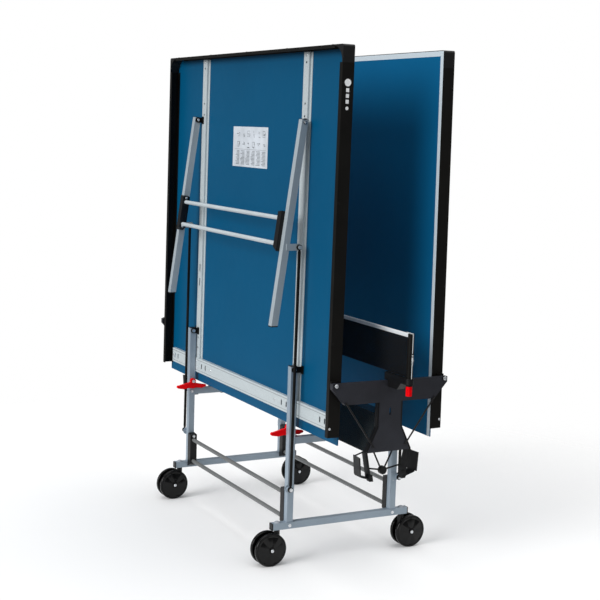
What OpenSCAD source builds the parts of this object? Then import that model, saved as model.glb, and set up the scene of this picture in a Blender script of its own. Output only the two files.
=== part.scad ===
// Folding table tennis table, drawn in its stored position.
// X runs along the playing direction, Y across the table and Z up from the floor.
// The origin is on the floor, under the middle of the net.
// Most pieces are drawn once in the +X, +Y quarter and mirrored to where they belong.

/* [Table] */
// Length of the whole playing surface
table_length = 2740; // [2700:10:2780]
// Width of the playing surface
table_width = 1525; // [1500:5:1550]
// Height of the playing surface when the table is open
play_height = 760; // [755:1:765]
// Thickness of the boards
board_t = 5; // [4:0.5:6]
// Depth of the apron, measured from the playing surface
apron_depth = 45; // [42:1:50]
// Half of the slit between the two boards under the net
net_slit = 3.5; // [3.5:0.5:6]
// Distance of the two long rails from the table's centre line
rail_y = 448; // [440:1:452]

/* [Fold] */
// Distance of each main hinge from the net line
hinge_reach = 221; // [218:1:226]
// Depth of each main hinge below the playing surface
hinge_depth = 35; // [35:1:37]
// Angle by which each stored half leans inwards past upright
stored_lean = 0.45; // [0:0.05:0.6]
// Distance between a main hinge and the leg pivot on the same half
half_arm = 887; // [870:1:900]
// How far the link's lower pivot lies below the main hinge
link_drop = 440; // [420:5:450]
// How far the link's lower pivot lies outside the main hinge
link_offset = 12; // [10:1:14]
// How far a foot stands outside its leg pivot
foot_spread = 98; // [90:1:104]
// Thickness of the plastic foot under each leg
foot_t = 4; // [2:0.5:8]

/* [Carriage] */
// Width of the square steel tubes
tube = 25; // [24:1:26]
// Wall thickness of the square steel tubes
tube_wall = 2; // [1.5:0.5:2.5]
// Distance of the posts from the table's centre line
post_y = 467.5; // [466:0.5:469]
// Distance of the legs from the table's centre line
leg_y = 479; // [478:0.5:480]
// Half length of each foot beam
beam_half = 288; // [284:1:300]
// Height of the underside of the foot beams
beam_z = 131; // [130:1:140]
// Diameter of the tie rods between the posts
tie_d = 16; // [14:1:18]
// Diameter of the ties between the legs
leg_tie_d = 16; // [14:1:18]
// Height of the levers' pivots
lever_z = 508; // [506:1:512]

/* [Casters] */
// Wheel diameter
wheel_d = 125; // [110:1:126]
// Width of each of a caster's two wheels
wheel_w = 21; // [18:1:22]
// Half width of the body between the two wheels
caster_half = 11; // [9:1:12]
// Distance of the axle from the swivel axis
caster_trail = 33; // [25:1:36]
// Diameter of the swivel stem
stem_d = 16; // [14:1:16]
// Distance of the swivel axes from the net line
stem_x = 267; // [262:1:269]

/* [Net and holders] */
// Height of the net above the playing surface
net_height = 152.5; // [150:0.5:155]
// Distance of the net posts from the table's centre line
net_post_y = 904; // [900:1:906]
// Diameter of the net posts
net_post_d = 22; // [20:1:22]
// Width of the white tape along the net's top
net_tape_w = 14; // [12:1:16]

/* [Hidden] */
$fn = 48;

// Fits
shaft_gap = 0.05;     // radial clearance of a pin that turns in its bore
open_gap = 0.5;       // radial clearance at the link's upper pivot
side_gap = 0.6;       // clearance beside a moving piece
screw_gap = 0.1;      // radial clearance of a fixed screw

// Derived places
half_length = table_length / 2;
half_width = table_width / 2;
hinge_z = play_height - hinge_depth;
board_z = play_height - board_t;
apron_z = play_height - apron_depth;
stored_angle = 90 + stored_lean;
beam_top = beam_z + tube;
cap_t = 2;
post_top = hinge_z + 13;
post_inner = post_y - tube / 2;
post_outer = post_y + tube / 2;
leg_inner = leg_y - tube / 2;
leg_outer = leg_y + tube / 2;
pin_d = 8;
link_x = hinge_reach + link_offset;
link_z = hinge_z - link_drop;
leg_pivot_x = hinge_reach - half_arm * sin(stored_lean);
leg_pivot_z = hinge_z + half_arm * cos(stored_lean);
leg_tilt = atan(foot_spread / hinge_z);
leg_length = hinge_z / cos(leg_tilt);
wheel_r = wheel_d / 2;
axle_x = stem_x + caster_trail;
axle_d = 10;
axle_end = caster_half + wheel_w + 2 * side_gap + 2.5;

// Brackets that hold two tie rods one above the other
bracket_h = 145;
bracket_w = 30;
bracket_depth = 28;
bracket_low = 26;     // lower rod above the bracket's foot
bracket_high = 118;   // upper rod above the bracket's foot
bracket_bolt = 134.5; // bolt above the bracket's foot
cross_beam_z = lever_z - 46;
bracket_z = beam_z + 6;
socket_depth = 12;

// Clevises on the underside of the boards
cheek_t = 3;
clevis_r = 11;

// Links
link_y = leg_outer + 9;
link_eye_r = 10;
link_eye_t = 8;
link_rod_d = 11;

// Brackets on the legs, outside the leg's own axis
leg_bracket_top = 318;
leg_tie_x = 12;

// Rails on the underside of the boards
rail_half = 32;
rail_crest = 20;
rail_depth = 10;
sheet_t = 2;
cross_rail_start = 45;
cross_rail_w = 60;
cross_rail_depth = 14;
cross_rail_half = 715;
rail_end = half_length - 14;

// Apron and corner covers
apron_start = 33;
apron_lip = 20;
end_lip = 12;
corner_size = 60;
corner_inner_r = 55;
corner_outer_r = 8;

// Holders for bats and balls, one at each end of the net
holder_back = half_width + 9.5;
holder_front = holder_back + 18;
holder_face_t = 4;
holder_pin_d = 10;
box_depth = 372;
box_wall = 2.5;
pocket_wall = 4;
pocket_back = holder_front - 37;
pocket_front = holder_front - 3;
hub_z = hinge_z - 324;
hub_y = holder_front - 38;
hub_r = 15;
brace_d = 6;
brace_y = holder_front + brace_d / 2 + 0.05;

// Net
net_t = 2;
tape_t = 5;
net_top = play_height + net_height;
net_half = net_post_y - net_post_d / 2 - 0.5;
clamp_top = play_height - 1;
net_post_bottom = hinge_z + 7;
net_post_top = net_top;
cord_d = 3;
cord_y = net_post_y + net_post_d / 2 + cord_d / 2 + 0.4;

// ---------- helpers ----------

// Mirrors a piece drawn in the +X, +Y quarter to the quarter given by the two signs.
module corner(side_x, side_y) {
    mirror([side_x < 0 ? 1 : 0, 0, 0])
        mirror([0, side_y < 0 ? 1 : 0, 0])
            children();
}

// Draws a piece of one quarter in both ends of the table.
module both_ends() {
    for (side_y = [-1, 1]) corner(1, side_y) children();
}

module all_corners() {
    for (side_x = [-1, 1], side_y = [-1, 1]) corner(side_x, side_y) children();
}

// A cylinder along Y from y0 to y1.
module y_rod(x, z, d, y0, y1) {
    translate([x, y0, z]) rotate([-90, 0, 0]) cylinder(d = d, h = y1 - y0);
}

// An outline in X and Z, drawn from y0 to y1.
module y_plate(y0, y1) {
    translate([0, y1, 0]) rotate([90, 0, 0]) linear_extrude(height = y1 - y0) children();
}

// A round bar between any two points.
module bar(from, to, d) {
    span = to - from;
    translate(from)
        rotate([0, acos(span[2] / norm(span)), atan2(span[1], span[0])])
            cylinder(d = d, h = norm(span));
}

// A square tube along Z.
module square_tube(size, wall, length) {
    difference() {
        translate([-size / 2, -size / 2, 0]) cube([size, size, length]);
        translate([-size / 2 + wall, -size / 2 + wall, -1])
            cube([size - 2 * wall, size - 2 * wall, length + 2]);
    }
}

// A round tube along Y from y0 to y1.
module y_tube(x, z, d, y0, y1) {
    difference() {
        y_rod(x, z, d, y0, y1);
        y_rod(x, z, d - 3, y0 - 1, y1 + 1);
    }
}

// A slot along X in an outline.
module slot_2d(length, width) {
    for (end = [-1, 1]) translate([end * (length - width) / 2, 0]) circle(d = width);
    square([length - width, width], center = true);
}

// Turns a piece drawn in the open position up into the stored position of the +X half.
module stored() {
    translate([hinge_reach, 0, hinge_z])
        rotate([0, -stored_angle, 0])
            translate([-hinge_reach, 0, -hinge_z])
                children();
}

module half(side_x) {
    corner(side_x, 1) stored() children();
}

// Draws a piece in the frame of a leg, with its pivot at the origin and the leg along -Z.
module leg_frame(side_x) {
    corner(side_x, 1) translate([leg_pivot_x, 0, leg_pivot_z]) children();
}

module along_leg() {
    rotate([0, -leg_tilt, 0]) children();
}

// ---------- carriage ----------

module foot_beam(side_y) {
    corner(1, side_y) difference() {
        translate([-beam_half, post_y, beam_z + tube / 2])
            rotate([0, 90, 0]) square_tube(tube, tube_wall, 2 * beam_half);
        for (side_x = [-1, 1]) {
            translate([side_x * stem_x, post_y, beam_z - 1])
                cylinder(d = stem_d + 2 * shaft_gap, h = tube + 2);
            y_rod(side_x * hinge_reach, beam_z + tube / 2, pin_d + 2 * screw_gap,
                  post_y - tube, post_y + tube);
        }
    }
}

// The plate and the spacer that carry the link's lower pivot.
module link_lug() {
    y_plate(post_outer, post_outer + 3) union() {
        translate([link_x, link_z]) circle(r = 14);
        translate([hinge_reach - tube / 2, link_z - 14]) square([link_x - hinge_reach + tube / 2, 28]);
    }
    y_rod(link_x, link_z, 16, post_outer, link_y - link_eye_t / 2 - side_gap);
}

module post() {
    difference() {
        union() {
            translate([hinge_reach, post_y, beam_top])
                square_tube(tube, tube_wall, post_top - cap_t - beam_top);
            link_lug();
        }
        for (z = [hinge_z, lever_z])
            y_rod(hinge_reach, z, pin_d + 2 * screw_gap, post_inner - 1, post_outer + 1);
        for (z = [cross_beam_z, bracket_z + bracket_bolt])
            y_rod(hinge_reach, z, 6 + 2 * screw_gap, post_inner - 1, post_outer + 1);
        y_rod(link_x, link_z, pin_d + 2 * screw_gap, post_outer - 1, link_y);
    }
}

module cross_beam(side_y) {
    span = hinge_reach - tube / 2;
    corner(1, side_y)
        translate([-span, post_y, cross_beam_z])
            rotate([0, 90, 0]) square_tube(tube, tube_wall, 2 * span);
}

// One bracket, against a face at y = 0, with its sockets opening towards -Y.
module rod_bracket(socket_d) {
    difference() {
        translate([-bracket_w / 2, 0, 0]) rotate([90, 0, 90])
            linear_extrude(height = bracket_w)
                polygon([[0, 0], [0, bracket_h], [-bracket_depth, bracket_h - 4], [-bracket_depth, 14]]);
        y_rod(0, bracket_bolt, 6 + 2 * screw_gap, -bracket_depth - 1, 1);
        for (z = [bracket_low, bracket_high])
            y_rod(0, z, socket_d + 2 * screw_gap, -bracket_depth - 1, -bracket_depth + socket_depth);
    }
}

module rod_brackets() {
    color([0.1, 0.1, 0.1])
        all_corners() translate([hinge_reach, post_inner, bracket_z]) rod_bracket(tie_d);
}

module tie_rods(side_x) {
    reach = post_inner - bracket_depth + socket_depth - 0.2;
    color([0.45, 0.45, 0.43])
        for (z = [bracket_low, bracket_high])
            corner(side_x, 1) y_tube(hinge_reach, bracket_z + z, tie_d, -reach, reach);
}

// A plug for the end of a square tube, with its lid outside and its spigot along -Z.
module tube_plug(lid) {
    inner = tube - 2 * tube_wall - 0.4;
    translate([-tube / 2, -tube / 2, 0]) cube([tube, tube, lid]);
    translate([-inner / 2, -inner / 2, -10]) cube([inner, inner, 10]);
}

module tube_caps() {
    color([0.1, 0.1, 0.1]) all_corners() {
        translate([hinge_reach, post_y, post_top - cap_t])
            intersection() {
                tube_plug(cap_t);
                translate([-tube, -tube, -3]) cube([2 * tube, 2 * tube, 10]);
            }
        translate([beam_half, post_y, beam_z + tube / 2]) rotate([0, 90, 0]) tube_plug(4);
    }
}

module stem_caps() {
    color([0.5, 0.52, 0.54]) all_corners() translate([stem_x, post_y, beam_top])
        difference() {
            intersection() {
                cylinder(d = 24, h = 7);
                translate([0, 0, -8]) sphere(r = 15, $fn = 64);
            }
            translate([0, 0, -1]) cylinder(d = stem_d + 1, h = 4);
        }
}

// A cap screw along Y with its head outside y1.
module y_screw(x, z, d, y0, y1, head_d, head_h) {
    y_rod(x, z, d, y0, y1 + 0.01);
    y_rod(x, z, head_d, y1, y1 + head_h);
}

module carriage_bolts() {
    cheeks = side_gap + cheek_t + side_gap;
    color([0.8, 0.82, 0.83]) all_corners() {
        // main hinge
        y_rod(hinge_reach, hinge_z, pin_d, post_inner - cheeks, post_outer + cheeks);
        y_rod(hinge_reach, hinge_z, 14, post_inner - cheeks - 4, post_inner - cheeks + 0.01);
        y_rod(hinge_reach, hinge_z, 12, post_outer + cheeks - 0.01, post_outer + cheeks + 2.5);
        // link
        y_screw(link_x, link_z, pin_d, post_outer, link_y + link_eye_t / 2 + side_gap, 14, 4);
        // locking lever
        y_rod(hinge_reach, lever_z, pin_d, post_inner - 13.5, post_outer + 0.3);
        y_rod(hinge_reach, lever_z, 13, post_inner - 17, post_inner - 13.2);
        y_rod(hinge_reach, lever_z, 12, post_outer, post_outer + 2.5);
        // end of the cross beam
        y_rod(hinge_reach, cross_beam_z, 6, post_inner - 0.5, post_outer);
        y_rod(hinge_reach, cross_beam_z, 11, post_inner - 3.5, post_inner);
        // upper end of the rod bracket
        y_rod(hinge_reach, bracket_z + bracket_bolt, 6, post_inner - bracket_depth - 0.5, post_outer);
        y_rod(hinge_reach, bracket_z + bracket_bolt, 11, post_inner - bracket_depth - 3.5, post_inner - bracket_depth);
        // post foot
        y_screw(hinge_reach, beam_z + tube / 2, pin_d, post_inner, post_outer, 12, 3);
    }
}

// ---------- locking levers ----------

module lock_lever(side_x, side_y) {
    color([0.75, 0.02, 0.05]) corner(side_x, side_y) difference() {
        y_plate(post_inner - 12.6, post_inner - side_gap) union() {
            translate([hinge_reach, lever_z]) {
                circle(r = 12);
                polygon([[-8, -8], [-54, -17], [-57, -25], [-40, -31], [-14, -27], [0, -31],
                         [20, -28], [44, -32], [66, -28], [70, -21], [62, -16], [11, -4]]);
                translate([-55, -21]) circle(r = 4.5);
                translate([66, -22]) circle(r = 6);
            }
        }
        y_rod(hinge_reach, lever_z, pin_d + 2 * shaft_gap, post_inner - 20, post_inner + 1);
    }
}

// ---------- casters ----------

module caster(side_x, side_y) {
    color([0.06, 0.06, 0.06]) corner(side_x, side_y) translate([0, post_y, 0]) {
        y_rod(axle_x, wheel_r, 74, -caster_half, caster_half);
        translate([stem_x - 9, -caster_half, wheel_r]) cube([caster_trail + 9, 2 * caster_half, 30]);
        translate([stem_x, 0, wheel_r + 8]) cylinder(d = stem_d + 6, h = beam_z - 0.3 - wheel_r - 8);
        translate([stem_x, 0, wheel_r]) cylinder(d = stem_d, h = beam_top + 1 - wheel_r);
        y_rod(axle_x, wheel_r, axle_d, -axle_end, axle_end);
        for (turn = [0, 180]) rotate(turn) translate([turn == 0 ? axle_x : -axle_x, 0, 0])
            y_rod(0, wheel_r, 14, axle_end - 2.5, axle_end);
    }
}

// Half of a wheel's section: a rounded tread and a domed outer cover.
module wheel_section() {
    bore_r = axle_d / 2 + shaft_gap;
    tread_r = 5;
    dome_sag = 6;
    dome_r = wheel_r - 8;
    difference() {
        union() {
            translate([bore_r, 0]) square([wheel_r - tread_r - bore_r, wheel_w - dome_sag]);
            translate([bore_r, tread_r]) square([wheel_r - bore_r, wheel_w - dome_sag - 2 * tread_r]);
            for (y = [tread_r, wheel_w - dome_sag - tread_r])
                translate([wheel_r - tread_r, y]) circle(r = tread_r);
            polygon(concat([[bore_r, 0]], [for (i = [0:8])
                [bore_r + (dome_r - bore_r) * i / 8, wheel_w - dome_sag * pow(i / 8, 2)]], [[dome_r, 0]]));
        }
        translate([bore_r + 20, -1]) square([18, 4]);
    }
}

module wheels(side_x, side_y) {
    color([0.04, 0.04, 0.04]) corner(side_x, side_y)
        for (turn = [-90, 90])
            translate([axle_x, post_y, wheel_r]) rotate([turn, 0, 0])
                translate([0, 0, caster_half + side_gap]) rotate_extrude($fn = 96) wheel_section();
}

// ---------- holders ----------

// Outline of the holder's face; inset gives the pocket behind the face.
module holder_outline(inset) {
    right = [
        [hinge_reach + 13 - inset, 6 - inset], [hinge_reach + 13 - inset, -13],
        [hinge_reach - 38 - inset / 2, -70 + inset], [44 - inset, -70 + inset],
        [44 - inset, -160], [86 - inset * 1.5, -247 + inset]
    ];
    count = len(right);
    points = concat(right, [for (i = [1:count]) [-right[count - i][0], right[count - i][1]]]);
    translate([0, hinge_z]) polygon(points);
}

module holder_plate(side_y) {
    color([0.16, 0.16, 0.19]) corner(1, side_y) difference() {
        union() {
            difference() {
                y_plate(holder_back, holder_front) holder_outline(0);
                y_plate(holder_back - 1, holder_front - holder_face_t) holder_outline(3);
            }
            for (side_x = [-1, 1])
                y_rod(side_x * hinge_reach, hinge_z - 4, 22, holder_back, holder_front);
        }
        for (side_x = [-1, 1])
            y_rod(side_x * hinge_reach, hinge_z, holder_pin_d + 2 * shaft_gap, holder_back - 1, holder_front + 1);
        y_plate(holder_back, holder_front + 1) translate([0, hinge_z - 104]) rotate(90) slot_2d(28, 6);
    }
}

// The ball box narrows upwards, clear of the boards' edges as they swing past it.
module ball_box_outline(inset) {
    right = [[88 - inset * 1.6, -246 + inset], [27 - inset / 2, -120 - inset]];
    count = len(right);
    points = concat(right, [for (i = [1:count]) [-right[count - i][0], right[count - i][1]]]);
    translate([0, hinge_z]) polygon(points);
}

module ball_box(side_y) {
    color([0.2, 0.21, 0.21]) corner(1, side_y) difference() {
        y_plate(holder_back - box_depth, holder_back) ball_box_outline(0);
        y_plate(holder_back - box_depth - 1, holder_back - box_wall) ball_box_outline(box_wall);
    }
}

// An arm that follows the holder's edge, and below it a pocket for a bat: an inner wall, a tray that slopes
// down to it, and an outer wall that flares to the front.
module bat_pocket() {
    // the arm, bent inwards round the holder's lower corner
    y_plate(holder_back + 0.05, pocket_front) translate([0, hinge_z]) polygon([
        [44.05, -70.05], [52, -70.05], [52, -158.2], [93.2, -243.5], [92.6, -246.5], [73.9, -343.8],
        [66.1, -342.3], [84.1, -248.3], [86.06, -248.3], [86.06, -247], [44.05, -159.98]]);
    // inner wall, and a gusset at its foot
    y_plate(pocket_back, pocket_front) translate([0, hinge_z]) polygon([
        [84.1, -248.3], [84.1 + pocket_wall, -248.3], [66.1 + pocket_wall, -343], [66.1, -342.3]]);
    y_plate(pocket_back + 18, pocket_front + 3) translate([0, hinge_z]) polygon([
        [58, -351], [63, -327], [75, -327], [79, -338], [73, -351]]);
    // tray
    y_plate(pocket_back - 6, pocket_front + 4) translate([0, hinge_z]) polygon([
        [66.1, -342.3], [65.4, -346.5], [111, -331.5], [111, -327.5]]);
    // outer wall
    translate([106.5, pocket_back - 10, hinge_z - 328]) rotate([0, 4.6, -6.6]) cube([pocket_wall, 55, 68]);
    // bar between the walls' rear edges, at the top
    y_plate(pocket_back + 1, pocket_back + 5) translate([0, hinge_z]) polygon([
        [85, -249], [115, -258], [115, -262], [85, -253]]);
}

module bat_pockets(side_y) {
    color([0.07, 0.07, 0.07]) for (side_x = [-1, 1]) corner(side_x, side_y) bat_pocket();
}

// Two stays across the holder's face, and a hub below it whose arms reach the pockets and the ball box.
module holder_braces(side_y) {
    color([0.09, 0.09, 0.09]) corner(1, side_y) {
        y_rod(0, hub_z, 2 * hub_r, hub_y - 7, hub_y + 7);
        for (side_x = [-1, 1]) {
            bar([side_x * (hinge_reach - 40), brace_y, hinge_z - 62], [side_x * 64, brace_y, hinge_z - 227.6], brace_d);
            bar([side_x * 8, hub_y, hub_z + 2], [side_x * 70.6, hub_y, hinge_z - 311], brace_d);
            bar([side_x * 8, hub_y, hub_z + 8], [side_x * 42, hub_y, hinge_z - 248], brace_d);
        }
    }
}

// ---------- net ----------

module net_post(side_y) {
    color([0.05, 0.05, 0.05]) corner(1, side_y) translate([0, net_post_y, 0]) difference() {
        translate([0, 0, net_post_bottom]) cylinder(d = net_post_d, h = net_post_top - net_post_bottom);
        translate([0, 0, net_post_bottom - 1]) cylinder(d = net_post_d - 4, h = net_post_top - net_post_bottom - 3);
    }
}

module net_clamps() {
    jaw = 15;
    color([0.05, 0.05, 0.05]) both_ends() difference() {
        union() {
            translate([-jaw, 0, 0]) rotate([90, 0, 90]) linear_extrude(height = 2 * jaw) polygon([
                [half_width + 4, hinge_z + 8], [holder_front, hinge_z + 8],
                [holder_front, hinge_z - 14], [holder_front + 60, hinge_z - 14],
                [holder_front + 84, hinge_z + 12], [net_post_y, hinge_z + 12],
                [net_post_y, clamp_top], [half_width + 4, clamp_top]]);
            translate([0, net_post_y, hinge_z + 12]) cylinder(r = jaw, h = clamp_top - hinge_z - 12);
        }
        translate([0, net_post_y, hinge_z]) cylinder(d = net_post_d + 2 * screw_gap, h = 100);
    }
}

module net() {
    color([0.04, 0.04, 0.05])
        translate([-net_t / 2, -net_half, play_height + 0.5])
            cube([net_t, 2 * net_half, net_height - net_tape_w - 0.5]);
}

module net_tape() {
    color([0.85, 0.86, 0.86])
        translate([-tape_t / 2, -net_half, net_top - net_tape_w])
            cube([tape_t, 2 * net_half, net_tape_w]);
}

// The tension cord leaves the tape, passes over the post and runs down to the clamp.
module net_cords() {
    over_z = net_top + cord_d / 2;
    color([0.7, 0.7, 0.68]) both_ends() {
        y_rod(0, over_z, cord_d, net_half - 16, cord_y + 1);
        translate([0, cord_y, clamp_top]) cylinder(d = cord_d - 0.4, h = over_z - clamp_top);
        translate([0, cord_y + 1.2, play_height + 62]) cylinder(d = 5.5, h = 20);
    }
}

module net_knob(side_y) {
    color([0.8, 0.02, 0.05]) corner(1, side_y) translate([0, net_post_y, net_post_bottom]) {
        difference() {
            translate([0, 0, -34]) cylinder(d = 22, h = 33.4);
            for (turn = [0:45:315])
                rotate(turn) translate([13, 0, -35]) cylinder(d = 6.4, h = 27, $fn = 24);
        }
        translate([0, 0, -2]) cylinder(d = 10, h = 24);
    }
}

// ---------- boards, aprons and underframe, drawn in the open position ----------

module board(side_x) {
    edge = sheet_t + 0.2;
    color([0, 0.32, 0.5]) half(side_x)
        translate([net_slit, -half_width + edge, board_z])
            cube([half_length - net_slit - edge, table_width - 2 * edge, board_t]);
}

// A channel of the apron along X, with its web at y = 0 and its lips towards -Y.
module apron_channel(length, lip) {
    translate([0, -sheet_t, apron_z]) cube([length, sheet_t, apron_depth]);
    for (z = [apron_z, board_z - sheet_t])
        translate([0, -lip, z]) cube([length, lip, sheet_t]);
}

module apron(side_x) {
    color([0.08, 0.08, 0.08]) half(side_x) {
        both_ends() translate([apron_start, half_width, 0])
            apron_channel(half_length - corner_size - apron_start, apron_lip);
        translate([half_length, half_width - corner_size, 0]) rotate(-90)
            apron_channel(table_width - 2 * corner_size, end_lip);
    }
}

module corner_cover() {
    inner_x = half_length - corner_size;
    inner_y = half_width - corner_size;
    difference() {
        translate([0, 0, apron_z]) linear_extrude(height = apron_depth) difference() {
            union() {
                translate([inner_x, inner_y]) square([corner_size - corner_outer_r, corner_size]);
                translate([inner_x, inner_y]) square([corner_size, corner_size - corner_outer_r]);
                translate([half_length - corner_outer_r, half_width - corner_outer_r]) circle(r = corner_outer_r);
            }
            translate([inner_x, inner_y]) circle(r = corner_inner_r);
        }
        translate([inner_x - 1, inner_y - 1, board_z])
            cube([corner_size + 1 - sheet_t - 0.2, corner_size + 1 - sheet_t - 0.2, board_t + 1]);
    }
}

module corner_covers(side_x) {
    color([0.06, 0.06, 0.06]) half(side_x) both_ends() corner_cover();
}

module cross_rail() {
    x0 = cross_rail_start;
    z0 = board_z - cross_rail_depth;
    difference() {
        union() {
            translate([x0, -cross_rail_half, z0]) cube([cross_rail_w, 2 * cross_rail_half, sheet_t]);
            for (x = [x0, x0 + cross_rail_w - sheet_t])
                translate([x, -cross_rail_half, z0]) cube([sheet_t, 2 * cross_rail_half, cross_rail_depth]);
        }
        for (y = [-690, -655, -395, -355, 355, 395, 655, 690])
            translate([x0 + cross_rail_w / 2, y, z0 - 1]) linear_extrude(height = 4) slot_2d(22, 9);
    }
}

// A top-hat rail along X, between the cross rail and the end of the half.
module long_rail() {
    x0 = cross_rail_start + cross_rail_w + 0.5;
    length = rail_end - x0;
    crest_z = board_z - rail_depth;
    translate([0, rail_y, 0]) difference() {
        union() {
            translate([x0, -rail_crest, crest_z]) cube([length, 2 * rail_crest, sheet_t]);
            for (side = [-1, 1]) {
                translate([x0, side * (rail_crest - sheet_t / 2) - sheet_t / 2, crest_z])
                    cube([length, sheet_t, rail_depth]);
                translate([x0, side > 0 ? rail_crest - sheet_t : -rail_half, board_z - sheet_t])
                    cube([length, rail_half - rail_crest + sheet_t, sheet_t]);
            }
        }
        for (x = [150, 192, 1130, 1175, 1320])
            translate([x, 0, crest_z - 1]) cylinder(d = 9, h = 4);
        for (x = [430, 490])
            translate([x, 0, crest_z - 1]) linear_extrude(height = 4) slot_2d(34, 9);
    }
}

module underframe(side_x) {
    color([0.74, 0.77, 0.78]) half(side_x) {
        cross_rail();
        both_ends() long_rail();
    }
}

// ---------- pivot brackets, drawn in the open position ----------

// Cheeks on the rail and the board that hold a square tube: one inside it, and another outside it if wanted.
module clevis(pivot_x, tube_y, bore_d, outside) {
    inner = tube_y - tube / 2 - side_gap - cheek_t;
    outer = tube_y + tube / 2 + side_gap;
    crest_z = board_z - rail_depth;
    difference() {
        union() {
            y_plate(inner, inner + cheek_t) clevis_cheek(pivot_x, crest_z);
            translate([pivot_x - 15, inner - 14, crest_z - 3]) cube([30, 14 + cheek_t, 3]);
            if (outside) {
                y_plate(outer, outer + cheek_t) clevis_cheek(pivot_x, board_z);
                translate([pivot_x - 15, outer, board_z - 3]) cube([30, 16, 3]);
            }
        }
        y_rod(pivot_x, hinge_z, bore_d, inner - 1, outer + cheek_t + 1);
    }
}

module clevis_cheek(pivot_x, top_z) {
    translate([pivot_x, hinge_z]) circle(r = clevis_r);
    translate([pivot_x - clevis_r, hinge_z]) square([2 * clevis_r, top_z - hinge_z]);
}

// The bolt that a leg turns on, fixed in its cheek.
module leg_bolt() {
    inner = leg_inner - side_gap - cheek_t;
    outer = leg_outer + side_gap;
    y_rod(hinge_reach + half_arm, hinge_z, pin_d, inner - 1, outer + 1);
    y_rod(hinge_reach + half_arm, hinge_z, 13, inner - 4, inner);
    y_rod(hinge_reach + half_arm, hinge_z, 12, outer, outer + 2.5);
}

// The stub on the apron that carries the holder, on the axis of the main hinge.
module holder_stub() {
    head_y = holder_front + side_gap;
    translate([hinge_reach - 12, half_width, hinge_z - 9]) cube([24, 8.9, 24]);
    y_rod(hinge_reach, hinge_z, holder_pin_d, half_width + 4, head_y + 1);
    y_rod(hinge_reach, hinge_z, 16, head_y, head_y + 4);
}

module pivot_brackets(side_x) {
    color([0.07, 0.07, 0.07]) half(side_x) both_ends() {
        clevis(hinge_reach, post_y, pin_d + 2 * shaft_gap, true);
        clevis(hinge_reach + half_arm, leg_y, pin_d - 1, false);
        leg_bolt();
        holder_stub();
    }
}

// ---------- legs and links ----------

module leg() {
    difference() {
        translate([0, leg_y, 0]) along_leg()
            translate([0, 0, -leg_length]) square_tube(tube, tube_wall, leg_length + 10);
        translate([-200, leg_inner - 1, -hinge_z - 100]) cube([400, tube + 2, 100 + foot_t]);
        y_rod(0, 0, pin_d + 2 * shaft_gap, leg_inner - 1, leg_outer + 1);
    }
    // lug and pin of the link's upper pivot
    axis_x = link_drop * tan(leg_tilt);
    y_plate(leg_outer - 1, leg_outer + 3) union() {
        translate([link_offset, -link_drop]) circle(r = 12);
        translate([link_offset, -link_drop - 12]) square([axis_x - link_offset, 24]);
    }
    y_rod(link_offset, -link_drop, pin_d, leg_outer + 1, link_y + link_eye_t / 2 + side_gap + 1);
    y_rod(link_offset, -link_drop, 14, link_y + link_eye_t / 2 + side_gap, link_y + link_eye_t / 2 + side_gap + 4);
}

module legs(side_x) {
    color([0.56, 0.61, 0.67]) leg_frame(side_x) both_ends() leg();
}

// Draws a piece in the frame of the bracket on the leg's inner face.
module at_leg_bracket() {
    along_leg() translate([leg_tie_x, leg_inner, -leg_bracket_top - bracket_h]) children();
}

module leg_ties(side_x) {
    reach = leg_inner - bracket_depth + socket_depth - 0.2;
    color([0.72, 0.74, 0.74]) leg_frame(side_x) along_leg()
        for (z = [bracket_low, bracket_high])
            y_tube(leg_tie_x, z - leg_bracket_top - bracket_h, leg_tie_d, -reach, reach);
}

// The foot closes the leg's lower end and stands on the floor when the table is open.
module foot() {
    intersection() {
        translate([0, leg_y, 0]) along_leg()
            translate([-tube / 2, -tube / 2, -leg_length - 10]) cube([tube, tube, 60]);
        translate([-200, leg_inner - 1, -hinge_z]) cube([400, tube + 2, foot_t]);
    }
}

module leg_fittings(side_x) {
    color([0.08, 0.08, 0.08]) leg_frame(side_x) both_ends() {
        at_leg_bracket() rod_bracket(leg_tie_d);
        foot();
        along_leg() translate([0, leg_y, 10]) translate([-tube / 2, -tube / 2, 0]) cube([tube, tube, cap_t]);
    }
}

module link() {
    arm_z = half_arm * cos(stored_lean);
    arm_x = -half_arm * sin(stored_lean);
    eye_y0 = link_y - link_eye_t / 2;
    shift = 14 / half_arm;
    difference() {
        union() {
            for (end = [[0, 0], [arm_x, arm_z]])
                y_rod(end[0], end[1], 2 * link_eye_r, eye_y0, eye_y0 + link_eye_t);
            bar([arm_x * shift, link_y, arm_z * shift], [arm_x * (1 - shift), link_y, arm_z * (1 - shift)], link_rod_d);
            bar([0, link_y, 0], [arm_x, link_y, arm_z], link_eye_t - 0.4);
        }
        y_rod(0, 0, pin_d + 2 * shaft_gap, eye_y0 - 1, eye_y0 + link_eye_t + 1);
        y_rod(arm_x, arm_z, pin_d + 2 * open_gap, eye_y0 - 1, eye_y0 + link_eye_t + 1);
    }
}

module links(side_x) {
    color([0.07, 0.07, 0.07]) corner(side_x, 1) both_ends() translate([link_x, 0, link_z]) link();
}

// ---------- nodes ----------

steel = [0.53, 0.58, 0.65];

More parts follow.
